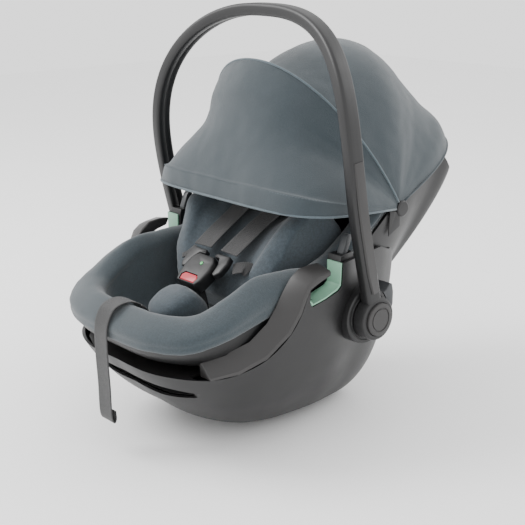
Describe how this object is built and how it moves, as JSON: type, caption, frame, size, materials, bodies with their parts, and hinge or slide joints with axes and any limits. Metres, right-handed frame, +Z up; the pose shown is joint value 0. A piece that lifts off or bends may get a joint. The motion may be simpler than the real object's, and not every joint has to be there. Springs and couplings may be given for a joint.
{
  "type": "infant car seat",
  "caption": "Rocking infant carrier seat with a padded bucket, buckle harness, height-adjusting headrest, swinging carry handle and folding fabric canopy.",
  "frame": {"origin": "centre of the flat rest under the rocker, below the handle's turning axis", "axes": "+X the seated child's left side, -Y the foot end, +Z up; the handle turns about the line Y = 0, Z = 0.176"},
  "size_m": [0.4408, 0.5966, 0.593],
  "materials": {
    "shell_plastic": "fine moulded grain",
    "trim_plastic": "satin",
    "lever_plastic": "satin",
    "guide_plastic": "satin",
    "buckle_plastic": "satin",
    "button_plastic": "gloss",
    "indicator_plastic": "gloss",
    "cover_fabric": "woven, slate",
    "canopy_fabric": "woven, slate",
    "insert_fabric": "knitted jersey, grey blue",
    "webbing": "woven webbing with a slight sheen",
    "pin_steel": "turned",
    "foam": "expanded bead foam"
  },
  "bodies": {
    "seat": {"rocker_shell": "shell_plastic", "grip_pocket": "shell_plastic", "seat_bucket": "shell_plastic", "side_post_left": "shell_plastic", "side_post_right": "shell_plastic", "hub_drum_left": "shell_plastic", "hub_drum_right": "shell_plastic", "canopy_bow_rear": "shell_plastic", "canopy_bracket_left": "shell_plastic", "canopy_bracket_right": "shell_plastic", "front_shelf": "trim_plastic", "armrest_trim_left": "trim_plastic", "armrest_trim_right": "trim_plastic", "belt_guide_left": "guide_plastic", "belt_guide_right": "guide_plastic", "buckle_body": "buckle_plastic", "harness_tongue_left": "buckle_plastic", "harness_tongue_right": "buckle_plastic", "buckle_indicator": "indicator_plastic", "seat_cover": "cover_fabric", "canopy_dome": "canopy_fabric", "newborn_insert": "insert_fabric", "crotch_pad": "insert_fabric", "shoulder_strap_left": "webbing", "shoulder_strap_right": "webbing", "waist_strap_left": "webbing", "waist_strap_right": "webbing", "crotch_strap": "webbing", "adjuster_strap": "webbing", "guide_pin_left": "pin_steel", "guide_pin_right": "pin_steel", "foam_liner": "foam"},
    "handle": {"carry_handle": "shell_plastic", "handle_leg_cover_left": "trim_plastic", "handle_leg_cover_right": "trim_plastic", "hub_cap_left": "trim_plastic", "hub_cap_right": "trim_plastic"},
    "release_left": {"handle_release_button_left": "lever_plastic"},
    "release_right": {"handle_release_button_right": "lever_plastic"},
    "lever_left": {"adapter_lever_left": "lever_plastic"},
    "lever_right": {"adapter_lever_right": "lever_plastic"},
    "headrest": {"headrest_pad": "insert_fabric", "headrest_shell": "shell_plastic"},
    "canopy": {"canopy_front": "canopy_fabric", "canopy_bow_front": "shell_plastic"},
    "canopy_middle": {"canopy_bow_middle": "shell_plastic"},
    "buckle_button": {"buckle_button": "button_plastic"}
  },
  "joints": [
    {"name": "handle_turn", "type": "hinge", "parent": "seat", "child": "handle", "pos_m": [0, 0, 0.176], "axis": [1, 0, 0], "range_deg": [-100, 75]},
    {"name": "release_left_press", "type": "slide", "parent": "seat", "child": "release_left", "axis": [-1, 0, 0], "range_m": [0, 0.003], "stiffness_N_per_m": 1500},
    {"name": "release_right_press", "type": "slide", "parent": "seat", "child": "release_right", "axis": [1, 0, 0], "range_m": [0, 0.003], "stiffness_N_per_m": 1500},
    {"name": "lever_left_pull", "type": "slide", "parent": "seat", "child": "lever_left", "axis": [0, 0, 1], "range_m": [0, 0.008], "stiffness_N_per_m": 800},
    {"name": "lever_right_pull", "type": "slide", "parent": "seat", "child": "lever_right", "axis": [0, 0, 1], "range_m": [0, 0.008], "stiffness_N_per_m": 800},
    {"name": "headrest_slide", "type": "slide", "parent": "seat", "child": "headrest", "axis": [0, 0.7547, 0.6561], "range_m": [0, 0.05]},
    {"name": "canopy_fold", "type": "hinge", "parent": "seat", "child": "canopy", "pos_m": [0, 0.092, 0.31], "axis": [-1, 0, 0], "range_deg": [0, 50], "deforming": ["canopy_front", "canopy_dome"]},
    {"name": "canopy_middle_fold", "type": "hinge", "parent": "seat", "child": "canopy_middle", "pos_m": [0, 0.092, 0.31], "axis": [-1, 0, 0], "range_deg": [0, 25]},
    {"name": "buckle_press", "type": "slide", "parent": "seat", "child": "buckle_button", "axis": [0, 0.6157, -0.788], "range_m": [0, 0.0025], "stiffness_N_per_m": 2500}
  ],
  "couplings": [
    {"joint": "canopy_middle_fold", "follows": "canopy_fold", "ratio": 0.5}
  ]
}
